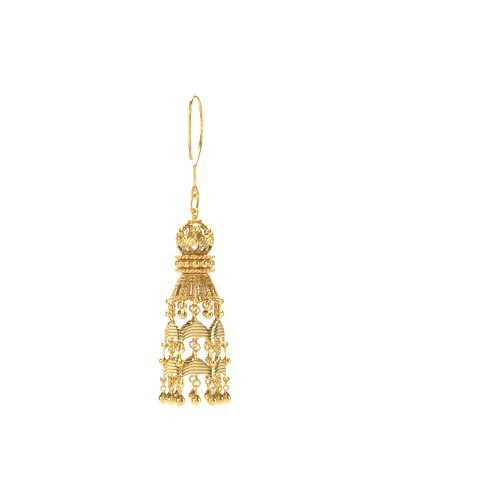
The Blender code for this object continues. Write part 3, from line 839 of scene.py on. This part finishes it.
def ribbed_plate(apothem, height, shoulder, fullness, horn, top_lug_in, low_lug_out):
    """A plate at the front, its head's middle at the origin, with its looped post and loops."""
    half_width = apothem * math.tan(corner_turn) - plate_gap / 2
    deselect()
    bpy.ops.mesh.primitive_grid_add(x_subdivisions=40, y_subdivisions=64, size=1.0)
    plate = bpy.context.object
    ribs = []
    for corner in plate.data.vertices:
        across = 2 * corner.co.x
        down = 0.5 - corner.co.y
        beside = abs(across)
        if beside < point_half:
            cusp = 0.5 * (1 - beside / point_half) ** 2
        else:
            cusp = ((beside - point_half) / (1 - point_half)) ** 1.7
        depth = down * (height + cusp * horn)
        width = min(1.0, max(0.13, depth / shoulder) ** fullness)
        shoulder_drop = 0.22 * MM * beside**3 * (1 - down) ** 3
        flank = max(0.0, (crease - across) / (1 + crease))
        ribs.append(0.5 + (depth - crease_slant * flank * width) / rib_pitch)
        ridge = math.sqrt(abs(math.sin(math.pi * ribs[-1])))
        fade = min(1.0, 5 * (1 - beside), 8 * (1 - down), 7 * down + 0.2)
        lift = rib_rise * ridge * fade - plate_bow * across**2 - flank_back * flank
        corner.co = (across * half_width * width, -lift, -depth - shoulder_drop)
    # The ribs mark also makes the metal paint shade, in its recess colour, along each groove.
    marks = plate.data.attributes.new("ribs", "FLOAT", "POINT")
    marks.data.foreach_set("value", ribs)
    wall = plate.modifiers.new("sheet", "SOLIDIFY")
    wall.thickness = plate_wall
    wall.offset = -1
    bpy.ops.object.modifier_apply(modifier="sheet")
    soft = plate.modifiers.new("soft_edge", "BEVEL")
    soft.width = plate_edge_round
    soft.segments = 2
    soft.limit_method = "ANGLE"
    soft.angle_limit = math.radians(62)
    bpy.ops.object.modifier_apply(modifier="soft_edge")
    plate = joined([plate])
    box = [corner[1] for corner in plate.bound_box]
    middle = (min(box) + max(box)) / 2
    plate.data.transform(Matrix.Translation((0, -middle, 0)))
    top_lug = lug(0, 0, 0)
    top_lug.data.transform(Matrix.Translation((0, top_lug_in, plate_hang - 0.74 * MM)))
    post_profile = [(0, 1.5), (0.25, 1.48), (0.3, 1.3), (0.36, 0.7), (0.5, 0.2), (0.7, -0.1)]
    post_profile += [(0, -0.2)]
    post = turned([(radius * MM, height * MM) for radius, height in post_profile], 24)
    post.data.transform(Matrix.Translation((0, top_lug_in, 0)))
    low_z = -height - 0.5 * horn - lug_half_height + solder
    horn_z = -height - horn - lug_half_height + solder
    horn_x = corner_reach(apothem) * math.sin(corner_turn) - horn_inset * math.cos(corner_turn)
    loops = [top_lug, post, lug(low_lug_out, 0, low_z)]
    for side in (-1, 1):
        horn_lug = lug(0, 0, 0, side * corner_turn)
        horn_lug.data.transform(Matrix.Translation((side * horn_x, -horn_loop_out, horn_z)))
        loops.append(horn_lug)
    return joined([plate, *loops])


# Its recess colour is the painted shade in the plates' rib grooves.
gold_ribbed = gold(
    "gold_ribbed_finish",
    bright=(1.0, 0.83, 0.4),
    deep=(1.0, 0.77, 0.31),
    painted_shade=(0.3, 0.11, 0.01),
    roughness=0.2,
    grain=2200.0,
    bump=0.2,
)
upper_plate_z = tab_ring_z - (ring_radius - ring_overlap) - plate_hang
upper = ribbed_plate(
    tier_1_reach,
    height=upper_height,
    shoulder=2.7 * MM,
    fullness=0.45,
    horn=upper_horn,
    top_lug_in=0.0,
    low_lug_out=0.15 * MM,
)
hung(upper, "ribbed_crescent_upper", gold_ribbed, "upper_plate", tier_1_reach, upper_plate_z)

# Rings between the tiers: round gold wire rings like those above, each closed on the point loop of
# an upper plate and on the looped post of the lower plate that it carries.
upper_point_z = upper_plate_z - upper_height - 0.5 * upper_horn - lug_half_height + solder
tier_ring_z = upper_point_z - ring_below_lug
between_tiers = tier_1_reach + 0.15 * MM
hung(jump_ring(), "ring_between_tiers", gold_polished, "tier_ring", between_tiers, tier_ring_z)

# Lower plates: gold sheet pressed and cut like the upper plates, but a little wider and less deep.
# Each hangs by its looped post from the ring below an upper plate.
tier_2_reach = 7.1 * MM
lower_height = 4.0 * MM
lower_horn = 1.3 * MM
lower_plate_z = tier_ring_z - (ring_radius - ring_overlap) - plate_hang
lower = ribbed_plate(
    tier_2_reach,
    height=lower_height,
    shoulder=2.4 * MM,
    fullness=0.6,
    horn=lower_horn,
    top_lug_in=0.15 * MM,
    low_lug_out=0.0,
)
hung(lower, "ribbed_crescent_lower", gold_ribbed, "lower_plate", tier_2_reach, lower_plate_z)

# Small ball drops: hollow gold balls on a short tapered neck, soldered to the ring that carries
# them. One hangs at each arch of the skirt, and one joins each pair of upper plates.
small_ball = 1.1 * MM
mid_drop_length = 3.4 * MM
mid_drop_out = 0.48 * MM


def small_drop(drop, lean=0.0):
    """A ring at the origin with its ball's middle this far below, leaning outwards."""
    top = -ring_radius + 0.05 * MM
    neck = drop - small_ball
    profile = [
        (0, top),
        (0.2 * MM, top),
        (0.25 * MM, -ring_radius - 0.3 * (neck - ring_radius)),
        (0.3 * MM, -neck + 0.12 * MM),
        (0.42 * MM, -neck + 0.01 * MM),
    ]
    for angle in range(28, 180, 8):
        height = -drop + small_ball * math.cos(math.radians(angle))
        profile.append((small_ball * math.sin(math.radians(angle)), height))
    profile.append((0, -drop - small_ball))
    drop_piece = joined([turned(profile, 36), jump_ring()])
    drop_piece.data.transform(Matrix.Rotation(-lean, 4, "X"))
    return drop_piece


arch_ring_z = arch_lug_z - ring_below_lug
arch_drop = small_drop(ring_radius + ring_wire + small_ball - solder)
hung(arch_drop, "ball_at_arch", gold_polished, "arch_drop", arch_reach, arch_ring_z, corner_turn)
horn_ring_drop = 0.05 * MM + math.sqrt(ring_radius**2 - horn_inset**2)
upper_horn_z = upper_plate_z - upper_height - upper_horn - lug_half_height + solder
mid_ring_z = upper_horn_z - horn_ring_drop
mid_drop = small_drop(mid_drop_length, math.asin(mid_drop_out / mid_drop_length))
mid_reach = corner_reach(tier_1_reach)
hung(mid_drop, "ball_between_tiers", gold_polished, "mid_drop", mid_reach, mid_ring_z, corner_turn)

# Large ball drops: hollow gold balls with a cone drawn up into a long wire loop, one below each
# point and one below each joined pair of horns of the lower plates.
large_ball = 1.36 * MM
centre_drop_length = 4.5 * MM
long_loop_radius = 0.66 * MM


def large_drop(drop):
    """A ring at the origin with a long loop in it and its ball's middle this far below."""
    loop_top = -(ring_radius - ring_wire)
    loop_foot = -drop + 2.05 * MM
    loop_half = (loop_top - loop_foot) / 2
    deselect()
    bpy.ops.mesh.primitive_torus_add(
        major_segments=28,
        minor_segments=10,
        major_radius=long_loop_radius,
        minor_radius=lug_wire,
    )
    stretch = Matrix.Diagonal((max(1.0, loop_half / long_loop_radius), 1.0, 1.0, 1.0))
    bpy.context.object.matrix_world = (
        Matrix.Translation((0, 0, loop_top - loop_half))
        @ Matrix.Rotation(math.pi / 2, 4, "Y")
        @ stretch
    )
    long_loop = bpy.context.object
    cone = [(0, 2.3), (0.26, 2.28), (0.34, 2.1), (0.42, 1.86), (0.54, 1.6), (0.72, 1.3)]
    cone += [(0.9, 1.06)]
    profile = [(radius * MM, -drop + height * MM) for radius, height in cone]
    for angle in range(48, 180, 6):
        height = -drop + large_ball * math.cos(math.radians(angle))
        profile.append((large_ball * math.sin(math.radians(angle)), height))
    profile.append((0, -drop - large_ball))
    return joined([turned(profile, 40), jump_ring(), long_loop])


lower_point_z = lower_plate_z - lower_height - 0.5 * lower_horn - lug_half_height + solder
bottom_ring_z = lower_point_z - ring_below_lug
bottom_ball_z = bottom_ring_z - centre_drop_length
lower_horn_z = lower_plate_z - lower_height - lower_horn - lug_half_height + solder
outer_ring_z = lower_horn_z - horn_ring_drop
outer_reach = corner_reach(tier_2_reach)
centre = large_drop(centre_drop_length)
hung(centre, "ball_at_point", gold_polished, "centre_drop", tier_2_reach, bottom_ring_z)
outer = large_drop(outer_ring_z - bottom_ball_z)
hung(outer, "ball_at_horns", gold_polished, "corner_drop", outer_reach, outer_ring_z, corner_turn)

# Studio: a white paper sweep well behind the hanging earring, with large soft lamps all round it.
# The room is dim and warm, which gives the gold its brown edges, but pale to the camera.
sweep_width = 0.44
sweep_line = [(-0.5, -0.14), (0.18, -0.14), (0.26, -0.13), (0.31, -0.1), (0.33, -0.05)]
sweep_line += [(0.33, 0.4)]
deselect()
bpy.ops.mesh.primitive_grid_add(x_subdivisions=2, y_subdivisions=5, size=1.0)
sweep = bpy.context.object
for corner in sweep.data.vertices:
    depth, height = sweep_line[round((corner.co.y + 0.5) * 5)]
    corner.co = (corner.co.x * sweep_width, depth, height)
paper = bpy.data.materials.new("white_sweep")
paper.use_nodes = True
paper_surface = paper.node_tree.nodes["Principled BSDF"]
paper_surface.inputs["Base Color"].default_value = (0.92, 0.92, 0.92, 1)
paper_surface.inputs["Roughness"].default_value = 0.8
sweep.name = "white_sweep"
sweep.data.materials.append(paper)
smooth(sweep, 60)

earring_middle = Vector((0.0, 0.0, -0.04))
sweep_middle = Vector((0.0, 0.33, 0.0))
# Each lamp's name, place, width, height, power in watts and colour.
lamps = [
    ("left_lamp", (-0.36, -0.20, 0.04), 0.12, 0.36, 0.62, (1.0, 0.98, 0.94)),
    ("right_lamp", (0.36, -0.10, 0.02), 0.10, 0.34, 0.5, (1.0, 0.98, 0.94)),
    ("front_fill", (-0.05, -0.5, -0.08), 0.4, 0.3, 0.36, (1.0, 0.98, 0.95)),
    ("left_rim_lamp", (-0.38, 0.22, -0.04), 0.2, 0.3, 0.2, (1.0, 0.98, 0.95)),
    ("right_rim_lamp", (0.38, 0.22, -0.04), 0.14, 0.3, 0.1, (1.0, 0.97, 0.94)),
    ("front_lamp", (-0.08, -0.36, 0.26), 0.3, 0.2, 0.28, (1.0, 0.98, 0.94)),
    ("top_lamp", (0.0, 0.0, 0.30), 0.26, 0.26, 0.5, (1.0, 0.99, 0.97)),
    ("sweep_lamp", (0.0, 0.1, 0.32), 0.42, 0.2, 1.6, (1.0, 1.0, 1.0)),
]
for name, place, width, height, power, colour in lamps:
    light = bpy.data.lights.new(name, "AREA")
    light.shape = "RECTANGLE"
    light.size = width
    light.size_y = height
    light.energy = power
    light.color = colour
    lamp = bpy.data.objects.new(name, light)
    lamp.location = place
    aim = sweep_middle if name == "sweep_lamp" else earring_middle
    lamp.rotation_euler = (aim - lamp.location).to_track_quat("-Z", "Y").to_euler()
    bpy.context.scene.collection.objects.link(lamp)

room = bpy.context.scene.world or bpy.data.worlds.new("room")
bpy.context.scene.world = room
room.use_nodes = True
background = room.node_tree.nodes["Background"]
background.inputs["Color"].default_value = (1.0, 0.9, 0.74, 1)
background.inputs["Strength"].default_value = 0.15
air = Shade(room.node_tree, None)
seen = air.node("ShaderNodeLightPath", out="Is Camera Ray")
pale = air.node("ShaderNodeBackground", sockets={"Color": (0.9, 0.9, 0.9, 1), "Strength": 1.0})
around = air.node(
    "ShaderNodeMixShader", sockets={0: seen, 1: Shade(air.tree, background.outputs[0]), 2: pale}
)
world_out = room.node_tree.nodes["World Output"]
room.node_tree.links.new(around.socket, world_out.inputs["Surface"])
bpy.context.scene.view_settings.view_transform = "Standard"

view = bpy.data.cameras.new("camera")
view.sensor_width = 36.0
view.lens = 124.6
view.clip_start = 0.01
camera = bpy.data.objects.new("camera", view)
camera.location = (-0.0249, -0.44955, -0.0395)
camera_turn = math.radians(-5)
camera.rotation_euler = (math.pi / 2, 0, camera_turn)
bpy.context.scene.collection.objects.link(camera)
bpy.context.scene.camera = camera
bpy.context.view_layer.update()
